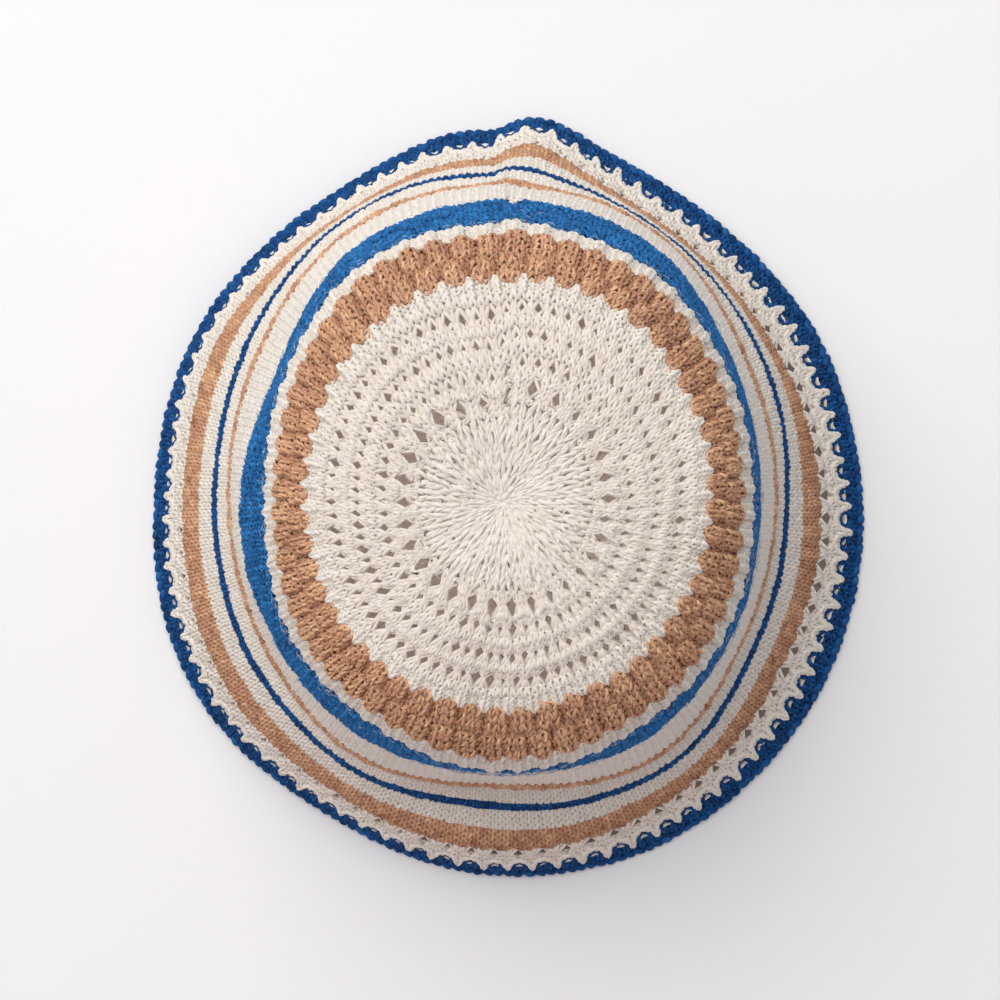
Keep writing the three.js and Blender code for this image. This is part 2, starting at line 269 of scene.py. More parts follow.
# Shape of an eyelet: how round it is, how far the dip spreads in half widths, how far along the fabric
# it moves the strands, and the nearest that a strand counts as to its middle
EYELET_ROUNDNESS = 3.2
DIP_SPREAD = 1.4
EYELET_REACH = 8.0
EYELET_HEART = 0.05

# Shares of its unevenness that move an eyelet aside and outwards, and its smallest and largest size
EYELET_ASIDE = 0.25
EYELET_OUTWARDS = 0.5
EYELET_SIZES = (0.45, 1.35)

# Smallest radius at which a degree is measured, beside the gathered centre, and the innermost length
# that the yarn reaches
SMALLEST_RADIUS = 1.0
INNERMOST = 0.3

# Points of the colour changes: length, how far it spreads, how many, how far they reach out, and
# the angle of the first
POINTS = (
    (CREAM_TOP, 2.5, 52, 0.8, 1.73),
    (CROWN, 2.5, 60, 1.1, 3.0),
    (BLUE_TOP, 2.5, 60, 0.2, 3.0),
)

# Turn of the rounds of the cream top, towards one angle: how far, the angle, and where it fades out
TOP_TURN = (6.5, 215.0, CREAM_TOP)

# Step in the rounds at the back seam: its angle, half the angle that it takes on the cream top and on
# the brim, then how far the cream top and the brim step inwards after it and outwards before it, each
# with the angle over which that fades
SEAM_ANGLE = 90.6
TOP_SEAM_HALF = 4.5
BRIM_SEAM_HALF = 1.5
TOP_STEP = ((4.2, 70.0), (1.2, 40.0))
BRIM_STEP = ((1.8, 18.0), (3.2, 14.0))

# Notch in the blue band beside the seam: its angle and length, how far it spreads each way, and how
# far it pulls the fabric in
NOTCH = (87.7, BLUE_FOOT, 1.1, 6.0, 6.5)

# Loose fibres that stand off the yarn: piece, how many, first and last length
FIBRES = (
    ("side_blue_band", 2600, 98.0, BLUE_FOOT - 3.0),
    ("crown_tan_band", 1300, CREAM_TOP, CROWN),
    ("crown_cream_band", 700, CROWN, 99.0),
    ("crown_cream_band", 40, 99.0, 106.0),
    ("crown_lace", 1400, 30.0, CREAM_TOP),
)

# Shape of a loose fibre: its radius, drawn thicker than a real one so that it shows, its rings and
# sides, its length, how far it bends, the height of its ends, and how far it rises between them
FIBRE_RADIUS = 0.05
FIBRE_RINGS = 2
FIBRE_SIDES = 3
FIBRE_LENGTHS = (2.0, 5.0)
FIBRE_BEND = 0.5
FIBRE_HEIGHTS = (0.9, 1.5)
FIBRE_RISES = (0.2, 1.2)

# Slow unevenness of the fabric: how far outwards and round the hat, in how many waves, how many times
# each goes round the hat, and how many degrees it moves on in a millimetre outwards
SWAY = 0.5
SLIP = 0.25
WAVES = 9
WAVES_ROUND = (2, 12)
WAVE_SLANT = 5.0

# Each piece: its material, the slot of that finish, and the band of the frame that it stands for
PIECES = {
    "crown_centre": ("cream", "cream_yarn", "crown_top"),
    "crown_lace": ("cream", "cream_yarn", "crown_top"),
    "crown_tan_band": ("tan", "tan_yarn", "crown_tan_band"),
    "crown_cream_band": ("cream", "cream_yarn", "crown_cream_band"),
    "side_blue_band": ("blue", "blue_yarn", "side_blue_band"),
    "side_cream_band": ("cream", "cream_yarn", "side_cream_band"),
    "brim_tan_line": ("tan", "tan_yarn", "brim_tan_line"),
    "brim_cream_line": ("cream", "cream_yarn", "brim_cream_line"),
    "brim_blue_line": ("deep_blue", "blue_yarn", "brim_blue_line"),
    "brim_cream_band": ("cream", "cream_yarn", "brim_cream_band"),
    "brim_tan_band": ("tan", "tan_yarn", "brim_tan_band"),
    "brim_lace_band": ("cream", "cream_yarn", "brim_lace_band"),
    "brim_blue_edging": ("deep_blue", "blue_yarn", "brim_blue_edging"),
}


# Shape of the fabric


def smooth_between(t, span, before, start, end, after):
    """A smooth curve from start to end, each a pair of key and value."""
    start_slope = (end[1] - before[1]) / (end[0] - before[0]) * span
    end_slope = (after[1] - start[1]) / (after[0] - start[0]) * span
    t2 = t * t
    t3 = t2 * t
    return (
        start[1] * (2 * t3 - 3 * t2 + 1)
        + start_slope * (t3 - 2 * t2 + t)
        + end[1] * (3 * t2 - 2 * t3)
        + end_slope * (t3 - t2)
    )


def smooth_step(value, low, high):
    """Rises smoothly from 0 at low to 1 at high."""
    t = np.clip((value - low) / (high - low), 0.0, 1.0)
    return t * t * (3 - 2 * t)


def bell(away):
    """Falls smoothly from 1 in the middle to nearly nothing three spreads away."""
    return np.exp(-0.5 * away**2)


def away_from(angle, middle):
    """Angle counted from a middle, from minus to plus half a turn."""
    return np.mod(angle - middle + TURN / 2, TURN) - TURN / 2


def plan_radius(angle, outline):
    """Radius of an outline at each angle, without the folds."""
    values = np.array([row[OUTLINES.index(outline)] for row in PLAN])
    place = np.mod(angle, TURN) * len(PLAN) / TURN
    first = np.floor(place).astype(int)
    rows = [(i, values[(first + i) % len(PLAN)]) for i in (-1, 0, 1, 2)]
    return smooth_between(place - first, 1.0, *rows)


def fold_push(angle, outline):
    """How far the folds push an outline out at each angle."""
    push = np.zeros_like(angle)
    for fold_angle, spread_before, spread_after, pushes in FOLDS:
        away = away_from(angle, fold_angle)
        spread = np.where(away < 0, spread_before, spread_after)
        push += pushes.get(outline, 0.0) * bell(away / spread)
    return push


def drop_of(length, out):
    """Drop of fabric of one length that reaches out by a given distance."""
    return np.sqrt(length**2 - out**2)


def outline_heights(cream, crown, blue, headline, line, middle, edge):
    """Heights of the outlines from the crown's edge down to the middle of the brim."""
    middle_height = drop_of(LOWER_BRIM_LENGTH, edge - middle)
    line_height = middle_height + drop_of(UPPER_BRIM_LENGTH, middle - line)
    headline_height = line_height + drop_of(BRIM_ROOT_LENGTH, line - headline)
    blue_height = headline_height + drop_of(LOWER_SIDE_LENGTH, headline - blue)
    blue_top_height = blue_height + drop_of(BLUE_BAND_LENGTH, blue - crown - CROWN_CREAM_OUT)
    crown_height = blue_top_height + drop_of(CROWN_CREAM_LENGTH, CROWN_CREAM_OUT)
    return crown_height, blue_top_height, blue_height, headline_height, line_height, middle_height


MEAN_RADII = np.mean(PLAN, axis=0)
MEAN_CROWN_HEIGHT = outline_heights(*MEAN_RADII)[0]


def section_rows(angle):
    """Rows of length, radius and height that the section at each angle passes through."""
    even = [plan_radius(angle, outline) for outline in OUTLINES]
    heights = outline_heights(*even)
    crown_height, blue_top_height, blue_height, headline_height, line_height, middle_height = heights
    pushes = [fold_push(angle, outline) for outline in OUTLINES]
    cream, crown, blue, headline, line, middle, edge = [r + push for r, push in zip(even, pushes)]

    def top_height(rise, follows):
        """Height of a point of the crown that follows the crown's edge by a share."""
        return rise + MEAN_CROWN_HEIGHT + (crown_height - MEAN_CROWN_HEIGHT) * follows

    def side_middle(inner, outer):
        """Value in the middle of the cream side."""
        return inner + (outer - inner) * SIDE_MIDDLE[1]

    tan_length, tan_out, tan_rise, tan_follows = TAN_MIDDLE
    return [
        *[(length, cream * share, top_height(*top)) for length, share, *top in CREAM_SECTION],
        (tan_length, cream + (crown - cream) * tan_out, top_height(tan_rise, tan_follows)),
        (CROWN, crown, crown_height),
        (BLUE_TOP, crown + CROWN_CREAM_OUT, blue_top_height),
        (BLUE_FOOT, blue, blue_height),
        (SIDE_MIDDLE[0], side_middle(blue, headline), side_middle(blue_height, headline_height)),
        (HEADLINE, headline, headline_height),
        (BLUE_LINE, line, line_height),
        (MIDDLE_BRIM, middle, middle_height),
        (EDGE, edge, np.zeros_like(edge)),
    ]


def section_point(rows, length):
    """Radius and height of the fabric's middle at each length."""
    keys = np.array([row[0] for row in rows])
    last = len(rows) - 1
    after = np.clip(np.searchsorted(keys, length), 1, last)
    found = np.zeros((2, len(length)))
    for end in range(1, last + 1):
        chosen = after == end
        span = keys[end] - keys[end - 1]
        t = (length[chosen] - keys[end - 1]) / span
        for column in (1, 2):
            picks = []
            for i in range(end - 2, end + 2):
                row = rows[min(max(i, 0), last)]
                beyond = min(i, 0) + max(i - last, 0)
                picks.append((row[0] + beyond, row[column][chosen]))
            found[column - 1][chosen] = smooth_between(t, span, *picks)
    return found


def fabric_points(angle, length, lift):
    """Points over the fabric's middle, and the way that its outer face looks there."""
    reach = 0.5
    rows = section_rows(angle)
    radius, height = section_point(rows, length)
    along = section_point(rows, np.minimum(length + reach, EDGE))
    along -= section_point(rows, np.maximum(length - reach, 0.0))
    along /= np.hypot(*along)
    turn = np.radians(angle)
    right = np.cos(turn)
    back = np.sin(turn)
    normals = np.stack([-along[1] * right, -along[1] * back, along[0]], axis=1)
    middle = np.stack([GATHER[0] + radius * right, GATHER[1] + radius * back, height], axis=1)
    return middle + normals * lift[:, None], normals


# Places of the stitches in the fabric


def slow_waves(size):
    """Smooth unevenness round the hat and along the fabric, from a few waves."""
    turns = rng.integers(*WAVES_ROUND, WAVES)
    slants = rng.uniform(-WAVE_SLANT, WAVE_SLANT, WAVES)
    phases = rng.uniform(0, TURN, WAVES)
    sizes = rng.normal(0, size, WAVES) / math.sqrt(WAVES)

    def at(angle, length):
        """The unevenness at each angle and length."""
        waves = np.radians(np.outer(turns, angle) + np.outer(slants, length) + phases[:, None])
        return sizes @ np.sin(waves)

    return at


def seam_step(angle, length):
    """How far the rounds lie out of line beside the back seam."""
    away = away_from(angle, SEAM_ANGLE)
    top = np.sin(math.pi * np.minimum(length / CREAM_TOP, 1.0))
    brim = smooth_step(length, CREAM_TOP, BLUE_TOP) * (1 - smooth_step(length, LACE_FOOT, EDGE))
    step = np.zeros_like(angle)
    steps = ((top, TOP_SEAM_HALF, TOP_STEP), (brim, BRIM_SEAM_HALF, BRIM_STEP))
    for strength, half, ((inwards, fades_after), (outwards, fades_before)) in steps:
        crossed = smooth_step(away, -half, half)
        after = -inwards * (1 - smooth_step(away, 0.0, fades_after))
        before = outwards * (1 - smooth_step(-away, 0.0, fades_before))
        step += strength * (before + (after - before) * crossed)
    return step


def settle(angle, length, sway, slip):
    """Where the even rounds of the knitting come to lie in the worn, uneven fabric."""
    turned, turned_at, fades_at = TOP_TURN
    pulled = length + seam_step(angle, length)
    for at, spread, count, reach, start in POINTS:
        near = bell((length - at) / spread)
        pulled += reach * near * np.cos(np.radians(count * (angle - start)))
    notch_angle, notch_length, notch_round, notch_along, notch_depth = NOTCH
    aside = away_from(angle, notch_angle) / notch_round
    along = (length - notch_length) / notch_along
    pulled -= notch_depth * bell(aside) * bell(along)
    loose = np.minimum(length / CREAM_TOP, 1.0)
    pulled += loose * sway(angle, length)
    fading = 1 - smooth_step(length, fades_at / 2, fades_at)
    turn = turned * np.cos(np.radians(angle - turned_at)) * fading
    return angle + turn + loose * slip(angle, length), np.clip(pulled, INNERMOST, EDGE)


def make_eyelets():
    """The middle and size of every eyelet, ring by ring."""
    rings = []
    for length, count, start, half_round, half_out, unevenness, dip, wider, wider_at in EYELETS:
        step = TURN / count
        angles = start + step * (np.arange(count) + rng.normal(0, EYELET_ASIDE * unevenness, count))
        lengths = length + half_out * rng.normal(0, EYELET_OUTWARDS * unevenness, count)
        stretch = wider * np.cos(np.radians(angles - wider_at))
        sizes = np.clip(1 + stretch + rng.normal(0, unevenness, count), *EYELET_SIZES)
        halves = (half_round * sizes, half_out * sizes)
        rings.append((length, start, step, angles, lengths, *halves, dip))
    return rings


def open_eyelets(rings, angle, length):
    """Pushes the strands aside round every eyelet, and says how far they dip there."""
    turn_by = np.zeros_like(angle)
    shift_by = np.zeros_like(angle)
    dip_by = np.zeros_like(angle)
    radius = section_point(section_rows(angle), np.clip(length, 0.0, EDGE))[0]
    per_degree = np.radians(np.maximum(radius, SMALLEST_RADIUS))
    for ring_length, start, step, angles, lengths, half_round, half_out, dip in rings:
        near = np.abs(length - ring_length) < EYELET_REACH
        here = angle[near]
        nearest = np.round((here - start) / step).astype(int)
        for neighbour in (-1, 0, 1):
            i = (nearest + neighbour) % len(angles)
            across = away_from(here, angles[i]) * per_degree[near] / half_round[i]
            outwards = (length[near] - lengths[i]) / half_out[i]
            distance = np.maximum(np.hypot(across, outwards), EYELET_HEART)
            opened = (distance**EYELET_ROUNDNESS + 1) ** (1 / EYELET_ROUNDNESS) / distance - 1
            turn_by[near] += across * opened * half_round[i] / per_degree[near]
            shift_by[near] += outwards * opened * half_out[i]
            dipped = dip * bell(distance / DIP_SPREAD)
            dip_by[near] = np.maximum(dip_by[near], dipped)
    return angle + turn_by, length + shift_by, dip_by


def wavering(stitches, points, size):
    """Uneven values along a round of stitches, smooth from each stitch to the next."""
    values = rng.normal(0, size, stitches)
    share = np.arange(points) / points
    return (np.outer(values, 1 - share) + np.outer(np.roll(values, -1), share)).ravel()


def course_path(course, row):
    """Angle, length, lift and relief of the yarn along one round of loops, the relief also setting its
    painted shade.
    """
    pitch = (course.last - course.first) / course.rows
    middle = course.first + (row + 0.5) * pitch
    points = course.yarn.points
    phase = np.tile(np.arange(points) / points, course.stitches)
    number = np.repeat(np.arange(course.stitches), points)
    t = 2 * math.pi * (phase - 0.5)

    def uneven(size):
        """Uneven values along the round, as strong as in its course."""
        return wavering(course.stitches, points, size * course.unevenness)

    across = 0.5 + (t + course.lean * np.sin(2 * t)) / (2 * math.pi) + uneven(UNEVEN_PLACE)
    loop = 0.5 * course.loop * pitch * np.cos(t) * (1 + uneven(UNEVEN_LOOP))
    rise = loop + uneven(UNEVEN_ROW * pitch)
    chart = CHARTS[course.pattern]
    stitch = np.resize(chart[row % len(chart)], course.stitches)
    between = (stitch + np.roll(stitch, 1)) / 2
    relief = np.where(phase == 0, between[number], stitch[number])
    stands_out = course.overhang * (row + 1) / course.rows
    tucked = TUCK * course.depth * np.maximum(-np.cos(t), 0.0) ** TUCK_SHARPNESS
    bowed = -course.depth * np.cos(2 * t) - tucked
    lift = bowed + relief + stands_out + uneven(UNEVEN_LIFT)
    angle = course.start + (number + across) * TURN / course.stitches
    return angle, middle - rise, lift, relief + STITCH_SHARE * bowed


def teeth_path(count, start, first, last, half_width, stands_out):
    """Angle, length and lift of a round of yarn that bows out in teeth."""
    points = TOOTH_YARN.points
    number = np.repeat(np.arange(count), points)
    share = np.tile(np.arange(points) / points - 0.5, count)
    share -= TOOTH_CROWDING * np.sin(2 * math.pi * share) / (2 * math.pi)
    bow = np.exp(-(np.abs(share / half_width) ** TOOTH_SHARPNESS))
    reach = (last - first) * (1 + rng.normal(0, UNEVEN_TOOTH, count)[number])
    aside = rng.normal(0, UNEVEN_TOOTH_PLACE, count)[number] * bow
    angle = start + (number + share + aside) * TURN / count
    away = (1 - np.cos(np.radians(angle - TEETH_LONGEST_AT))) / 2
    length = first + reach * (1 - TEETH_SHORTER * away) * bow
    return angle, length, stands_out * (TOOTH_FOOT + (1 - TOOTH_FOOT) * bow)


# Yarn as meshes


def unit(vectors):
    """The same directions, each of length 1."""
    return vectors / np.linalg.norm(vectors, axis=1, keepdims=True)


def along_closed(points):
    """Steps to the next point of a closed line, and directions through its points."""
    ahead = np.roll(points, -1, axis=0)
    return ahead - points, unit(ahead - np.roll(points, 1, axis=0))


def around(points, normals, turns, radii):
    """Points round a line, each turned from its normal by its own angle."""
    through = along_closed(points)[1]
    beside = unit(np.cross(through, normals))
    above = np.cross(beside, through)
    outwards = np.cos(turns)[:, None] * above + np.sin(turns)[:, None] * beside
    return points + radii[:, None] * outwards


class Knitting:
    """Collects the strands of one piece and makes its mesh."""

    def __init__(self):
        self.vertices = []
        self.corners = []
        self.sizes = []
        self.places = []
        self.reliefs = []
        self.count = 0

    def add_mesh(self, vertices, faces, places, relief):
        """Faces over new vertices, with the place of each corner along and round its strand."""
        self.vertices.append(vertices)
        self.reliefs.append(relief)
        for some, where in zip(faces, places):
            self.corners.append((some + self.count).ravel())
            self.sizes.append(np.full(len(some), some.shape[1]))
            self.places.append(where.reshape(-1, 2))
        self.count += len(vertices)

    def add_yarn(self, points, normals, yarn, relief):
        """A closed round of yarn, strand by strand."""
        steps = np.linalg.norm(along_closed(points)[0], axis=1)
        lengths = np.concatenate([[0.0], np.cumsum(steps)])
        twists = max(1, round(lengths[-1] / yarn.twist))
        wound = lengths[:-1] / lengths[-1] * twists * 2 * math.pi + rng.uniform(0, 2 * math.pi)
        stitches = len(points) // yarn.points
        for strand in range(yarn.strands):
            wavers = wavering(stitches, yarn.points, UNEVEN_TWIST)
            turns = wound + strand / yarn.strands * 2 * math.pi + wavers
            spread = yarn.spread * (1 + wavering(stitches, yarn.points, UNEVEN_SPREAD))
            self.add_strand(around(points, normals, turns, spread), normals, lengths, yarn, relief)

    def add_strand(self, points, normals, lengths, yarn, relief):
        """One closed strand as a tube."""
        count = len(points)
        sides = yarn.sides
        radii = yarn.radius * (1 + rng.normal(0, UNEVEN_RADIUS, count))
        rings = [
            around(points, normals, np.full(count, 2 * math.pi * side / sides), radii)
            for side in range(sides)
        ]
        along = np.repeat(np.arange(count), sides)
        side = np.tile(np.arange(sides), count)
        next_along = (along + 1) % count
        next_side = (side + 1) % sides
        corners = ((along, side), (along, next_side), (next_along, next_side), (next_along, side))
        faces = np.stack([a * sides + s for a, s in corners], axis=1)
        shift = rng.uniform(0, STRAND_SHIFT)
        start = shift + lengths[along]
        end = shift + lengths[along + 1]
        low = side / sides
        high = (side + 1) / sides
        places = np.stack([start, low, start, high, end, high, end, low], axis=1)
        vertices = np.stack(rings, axis=1).reshape(-1, 3)
        self.add_mesh(vertices, [faces], [places], np.repeat(relief, sides))

    def add_fibres(self, count, first, last):
        """Short curved hairs, each a thin spindle."""
        angle = rng.uniform(0, TURN, count)
        length = rng.uniform(first, last, count)
        heading = rng.uniform(0, 2 * math.pi, count)
        reach = rng.uniform(*FIBRE_LENGTHS, count)
        bend = rng.normal(0, FIBRE_BEND, count)
        height = rng.uniform(*FIBRE_HEIGHTS, count)
        rows = section_rows(angle)
        per_degree = np.radians(section_point(rows, length)[0])
        points = []
        for share in np.linspace(0, 1, FIBRE_RINGS + 2):
            turned = heading + bend * share
            gone = reach * (share - 0.5)
            lift = height + rng.uniform(*FIBRE_RISES, count) * math.sin(math.pi * share)
            points.append(fabric_points(
                angle + gone * np.cos(turned) / per_degree,
                np.clip(length + gone * np.sin(turned), first, last),
                lift,
            ))
        through = unit(points[-1][0] - points[0][0])
        beside = unit(np.cross(through, points[1][1]))
        above = np.cross(beside, through)
        sides = FIBRE_SIDES
        turns = 2 * math.pi * np.arange(sides) / sides
        ring = np.cos(turns)[:, None] * above[:, None] + np.sin(turns)[:, None] * beside[:, None]
        start, *middles, end = [middle[:, None] for middle, _ in points]
        vertices = np.concatenate([start, *[m + FIBRE_RADIUS * ring for m in middles], end], axis=1)
        side = np.arange(sides)
        following = (side + 1) % sides
        tip = np.zeros(sides, dtype=int)
        last_ring = 1 + (FIBRE_RINGS - 1) * sides
        triangles = np.concatenate([
            np.stack([tip, 1 + following, 1 + side], axis=1),
            np.stack([last_ring + side, last_ring + following, tip + last_ring + sides], axis=1),
        ])
        square = np.stack([1 + side, 1 + following, 1 + following + sides, 1 + side + sides], axis=1)
        quads = np.concatenate([square + sides * i for i in range(FIBRE_RINGS - 1)])
        firsts = np.arange(count)[:, None, None] * vertices.shape[1]
        faces = [(quads + firsts).reshape(-1, 4), (triangles + firsts).reshape(-1, 3)]
        one_place = 0.5
        places = [np.full((some.size, 2), one_place) for some in faces]
        self.add_mesh(vertices.reshape(-1, 3), faces, places, np.ones(vertices.size // 3))

    def make(self, name):
        """The piece's object, with a map that runs along and round its strands."""
        vertices = np.concatenate(self.vertices)
        vertices[:, 2] = np.maximum(vertices[:, 2], 0.0)
        corners = np.concatenate(self.corners)
        sizes = np.concatenate(self.sizes)
        places = np.concatenate(self.places)
        places[:, 0] *= MM
        mesh = bpy.data.meshes.new(name)
        mesh.vertices.add(len(vertices))
        mesh.vertices.foreach_set("co", (vertices * MM).astype(np.float32).ravel())
        mesh.loops.add(len(corners))
        mesh.loops.foreach_set("vertex_index", corners.astype(np.int32))
        mesh.polygons.add(len(sizes))
        mesh.polygons.foreach_set("loop_start", (np.cumsum(sizes) - sizes).astype(np.int32))
        mesh.polygons.foreach_set("use_smooth", np.ones(len(sizes), dtype=bool))
        mesh.update(calc_edges=True)
        mesh.uv_layers.new(name="strand").data.foreach_set("uv", places.astype(np.float32).ravel())
        relief = mesh.attributes.new("relief", "FLOAT", "POINT")
        relief.data.foreach_set("value", np.concatenate(self.reliefs).astype(np.float32))
        piece = bpy.data.objects.new(name, mesh)
        bpy.context.collection.objects.link(piece)
        return piece


# Finishes


def linear(code):
    """Linear colour of an sRGB hex value."""
    parts = [int(code[i : i + 2], 16) / 255 for i in (1, 3, 5)]
    return [*[p / 12.92 if p <= 0.04045 else ((p + 0.055) / 1.055) ** 2.4 for p in parts], 1.0]


def add_node(tree, kind, settings=None, **inputs):
    """A node with its settings and its inputs, each a value or another node's output.

    An input goes by its name, or by i and its number where several share a name.
    """
    node = tree.nodes.new(kind)
    for key, value in (settings or {}).items():
        setattr(node, key, value)
    for key, value in inputs.items():
        place = int(key[1:]) if key[1:].isdigit() else key.replace("_", " ")
        socket = node.inputs[place]
        if isinstance(value, bpy.types.NodeSocket):
            tree.links.new(value, socket)
        else:
            socket.default_value = value
    return node


def yarn_material(name, light, dark, fleck, painted_shade_colour, sheen):
    """Soft spun yarn: fibres that run along the strands, in uneven tones of one colour."""
    # Real fibres are far finer than these, which are drawn as coarse as they need to be to show
    fibre_length = 2.2 * MM
    fibres_round = 5.0
    tone_length = 14.0 * MM
    fleck_length = 3.0 * MM
    ply_length = 4.0 * MM
    plies = 2.0
    patch_width = 11.0 * MM

    # How much each pattern counts in the tone, and the sums at which it is darkest and lightest
    patch_share = 0.35
    tone_share = 1.15
    fibre_share = 0.9
    darkest_at = 0.88
    lightest_at = 1.52

    # Where a fleck begins and is full, and how much of the colour it covers
    fleck_begins_at = 0.5
    fleck_full_at = 0.68
    fleck_cover = 0.7

    # Relief at which the painted shade begins to darken the colour, and at which it is darkest
    painted_shade_begins_at = 0.1
    painted_shade_full_at = -0.6

    # Height of the plies, and of the fibres as a share of it
    ply_height = 0.14 * MM
    fibre_height_share = 0.5

    multiply_add = {"operation": "MULTIPLY_ADD"}
    mix = {"data_type": "RGBA"}
    multiply = {"data_type": "RGBA", "blend_type": "MULTIPLY"}
    material = bpy.data.materials.new(name)
    material.use_nodes = True
    tree = material.node_tree
    tree.nodes.clear()

    # Patterns drawn out along the strand, and patches over the whole piece
    strand = add_node(tree, "ShaderNodeUVMap", {"uv_map": "strand"}).outputs["UV"]
    patterns = []
    for scale, detail, roughness in (
        ((1 / fibre_length, fibres_round, 1.0), 3.0, 0.7),
        ((1 / tone_length, 0.0, 1.0), 2.0, 0.5),
        ((1 / fleck_length, 1.0, 1.0), 1.0, 0.5),
    ):
        drawn = add_node(tree, "ShaderNodeMapping", Vector=strand, Scale=scale).outputs[0]
        noise = add_node(
            tree, "ShaderNodeTexNoise", Vector=drawn, Scale=1.0, Detail=detail, Roughness=roughness
        )
        patterns.append(noise.outputs["Fac"])
    fibres, tones, flecks = patterns
    place = add_node(tree, "ShaderNodeTexCoord").outputs["Object"]
    patches = add_node(
        tree, "ShaderNodeTexNoise", Vector=place, Scale=1 / patch_width, Detail=3.0
    ).outputs["Fac"]

    # Ridges of the plies, wound round the strand
    parts = add_node(tree, "ShaderNodeSeparateXYZ", Vector=strand).outputs
    wound = 0.0
    for part, winding in (("X", 2 * math.pi / ply_length), ("Y", 2 * math.pi * plies)):
        wound = add_node(
            tree, "ShaderNodeMath", multiply_add, i0=parts[part], i1=winding, i2=wound
        ).outputs[0]
    wave = add_node(tree, "ShaderNodeMath", {"operation": "SINE"}, i0=wound).outputs[0]
    ridges = add_node(tree, "ShaderNodeMath", multiply_add, i0=wave, i1=0.5, i2=0.5).outputs[0]

    # Colour: uneven tones, flecks, and painted shade that darkens the yarn where the stitches lie deep
    mixed = 0.0
    for pattern, share in ((patches, patch_share), (tones, tone_share), (fibres, fibre_share)):
        mixed = add_node(
            tree, "ShaderNodeMath", multiply_add, i0=pattern, i1=share, i2=mixed
        ).outputs[0]
    tone = add_node(
        tree, "ShaderNodeMapRange", Value=mixed, From_Min=darkest_at, From_Max=lightest_at
    ).outputs[0]
    flecked = add_node(
        tree,
        "ShaderNodeMapRange",
        Value=flecks,
        From_Min=fleck_begins_at,
        From_Max=fleck_full_at,
        To_Max=fleck_cover,
    ).outputs[0]
    relief = add_node(tree, "ShaderNodeAttribute", {"attribute_name": "relief"}).outputs["Fac"]
    painted_shade_share = add_node(
        tree, "ShaderNodeMapRange", Value=relief, From_Min=painted_shade_begins_at, From_Max=painted_shade_full_at
    ).outputs[0]
    colour = linear(dark)
    for blend, share, added in ((mix, tone, light), (mix, flecked, fleck), (multiply, painted_shade_share, painted_shade_colour)):
        colour = add_node(
            tree, "ShaderNodeMix", blend, Factor=share, A=colour, B=linear(added)
        ).outputs["Result"]

    # Bump and shader
    height = add_node(
        tree, "ShaderNodeMath", multiply_add, i0=fibres, i1=fibre_height_share, i2=ridges
    ).outputs[0]
    bump = add_node(tree, "ShaderNodeBump", Strength=0.7, Distance=ply_height, Height=height)
    shader = add_node(
        tree,
        "ShaderNodeBsdfPrincipled",
        Base_Color=colour,
        Roughness=0.85,
        Specular_IOR_Level=0.25,
        Sheen_Weight=sheen,
        Sheen_Roughness=0.5,
        Sheen_Tint=linear(light),
        Normal=bump.outputs["Normal"],
    )
    add_node(tree, "ShaderNodeOutputMaterial", Surface=shader.outputs["BSDF"])
    return material


# Each yarn: its name, its light and dark tones, its flecks, the colour of the painted shade in its
# hollows, and its nap
MATERIALS = {
    # Undyed yarn: warm white, with beige where its fibres bunch and straw flecks
    "cream": yarn_material("undyed_spun_yarn", "#f3eee9", "#e2d9ce", "#ebe1d3", "#fefcfa", 0.1),
    # Camel yarn: yellowish tan, reddish brown where its fibres bunch, with pinkish flecks
    "tan": yarn_material("camel_spun_yarn", "#fdd4a8", "#985743", "#cea091", "#c6acaa", 0.15),
    # Blue yarn: clear blue, navy where its fibres bunch and in flecks, with a soft nap
    "blue": yarn_material("blue_spun_yarn", "#3c98e2", "#03366c", "#08407a", "#8090a4", 0.12),
    # Deep blue yarn: the same blue spun tight, darker, with paler flecks and little nap
    "deep_blue": yarn_material("tight_blue_yarn", "#175ca2", "#011f48", "#2b72b4", "#c4ccd4", 0.05),
}


# The pieces of knitting


def knit_pieces():
    """Every round of every piece, as yarn."""
    rings = make_eyelets()
    sway = slow_waves(SWAY)
    slip = slow_waves(SLIP)
    pieces = {name: Knitting() for name in PIECES}
    for course in COURSES:
        for row in range(course.rows):
            angle, length, lift, relief = course_path(course, row)
            angle, length, dip = open_eyelets(rings, angle, length)
            angle, length = settle(angle, length, sway, slip)
            points, normals = fabric_points(angle, length, lift - dip)
            # The relief, lowered round the eyelets, sets the painted shade that darkens the yarn where
            # it lies deep
            pieces[course.piece].add_yarn(points, normals, course.yarn, relief - dip)
    for teeth in TEETH:
        angle, length, lift = teeth_path(*teeth)
        angle, length = settle(angle, length, sway, slip)
        points, normals = fabric_points(angle, length, lift)
        # The teeth's lift serves as their relief, which sets their painted shade
        pieces["brim_lace_band"].add_yarn(points, normals, TOOTH_YARN, lift)
    for name, *hairs in FIBRES:
        pieces[name].add_fibres(*hairs)
    return pieces


for name, knitting in knit_pieces().items():
    finish, slot, band = PIECES[name]
    piece = knitting.make("knit_" + name)
    piece.data.materials.append(MATERIALS[finish])
    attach(piece, "root")
    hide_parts(band)

# Floor, light and camera

# A table several metres wide, so that its edges stay out of the picture
FLOOR_SIZE = 6.0
bpy.ops.mesh.primitive_plane_add(size=FLOOR_SIZE, location=(0, 0, 0))
floor = bpy.context.active_object
floor.name = "table"

# Matt white paint: a plain pale ground without gloss
paint = bpy.data.materials.new("matt_white_table")
paint.use_nodes = True
shader = paint.node_tree.nodes["Principled BSDF"]
shader.inputs["Base Color"].default_value = linear("#f4f4f5")
shader.inputs["Roughness"].default_value = 0.8
floor.data.materials.append(paint)


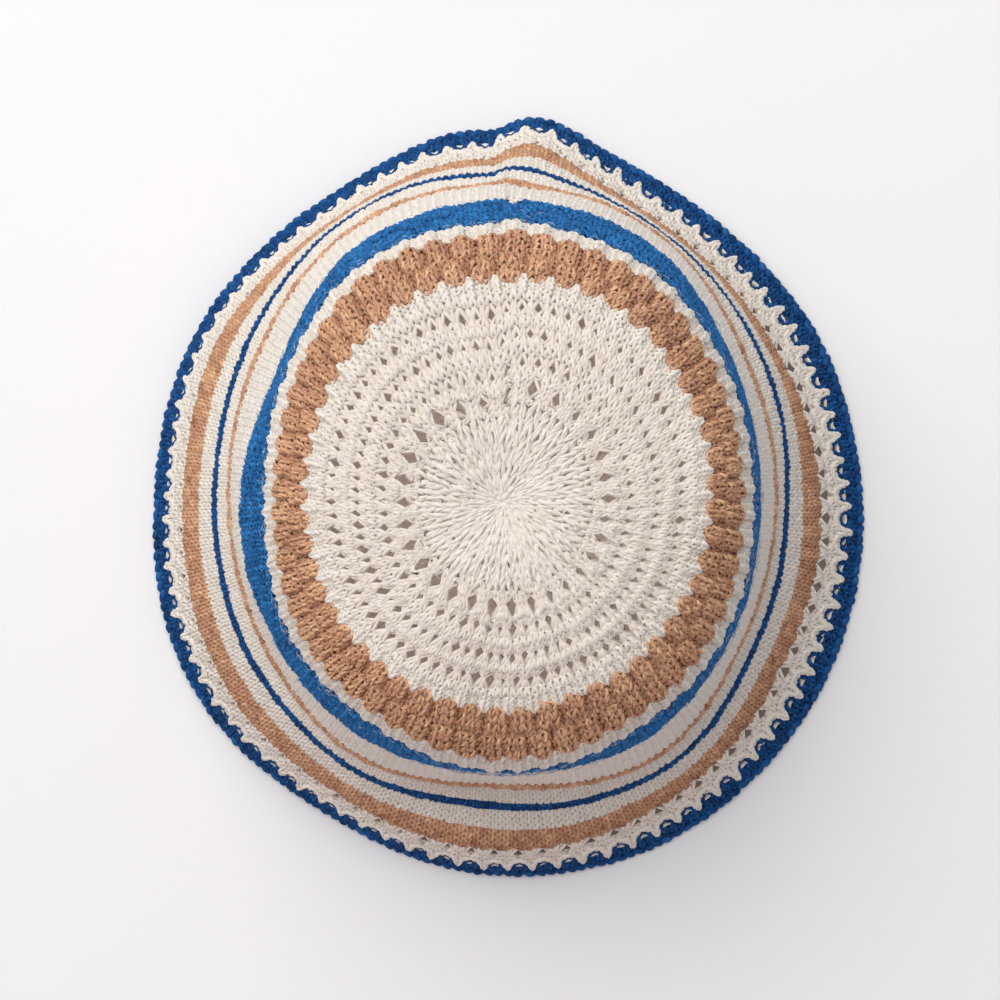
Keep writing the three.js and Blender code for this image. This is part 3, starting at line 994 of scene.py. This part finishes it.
def add_lamp(name, place, target, size, power, colour):
    """A square soft lamp that looks at a target, with metres and watts as its units."""
    lamp = bpy.data.lights.new(name, "AREA")
    lamp.shape = "SQUARE"
    lamp.size = size
    lamp.energy = power
    lamp.color = linear(colour)[:3]
    holder = bpy.data.objects.new(name, lamp)
    bpy.context.collection.objects.link(holder)
    holder.location = place
    away = np.array(place) - np.array(target)
    flat = math.hypot(away[0], away[1])
    tilt = math.atan2(flat, away[2])
    heading = math.atan2(away[1], away[0]) + math.pi / 2
    holder.rotation_euler = (tilt, 0.0, heading)


# A large window behind the hat, a faint warm glow from the front, and a little light inside it that
# shows through the eyelets
HAT_MIDDLE = (0.0, 0.0, 0.05)
add_lamp("window_lamp", (-0.6, 1.0, 1.65), HAT_MIDDLE, 2.2, 40.0, "#fffdf8")
add_lamp("warm_fill_lamp", (-0.15, -1.2, 0.4), HAT_MIDDLE, 0.6, 1.1, "#ffa898")
add_lamp("light_through_the_knit", (0.0, 0.0, 0.095), (0.0, 0.0, 0.0), 0.1, 0.03, "#ffddc7")
world = bpy.data.worlds.new("studio")
bpy.context.scene.world = world
world.use_nodes = True
sky = world.node_tree.nodes["Background"]
sky.inputs["Color"].default_value = linear("#f6f6fb")
sky.inputs["Strength"].default_value = 0.44

# Camera straight above the hat, with its focal length in pixels of the square image
CAMERA_HEIGHT = 1250.0
CAMERA_PLACE = (-2.93, -1.25)
FOCAL_PIXELS = 3466.0
IMAGE_PIXELS = 1000.0
SENSOR = 36.0
camera_data = bpy.data.cameras.new("camera")
camera_data.sensor_width = SENSOR
camera_data.lens = SENSOR * FOCAL_PIXELS / IMAGE_PIXELS
camera = bpy.data.objects.new("camera", camera_data)
bpy.context.collection.objects.link(camera)
camera.location = (CAMERA_PLACE[0] * MM, CAMERA_PLACE[1] * MM, CAMERA_HEIGHT * MM)
bpy.context.scene.camera = camera
bpy.context.scene.view_settings.view_transform = "Standard"

bpy.context.view_layer.update()
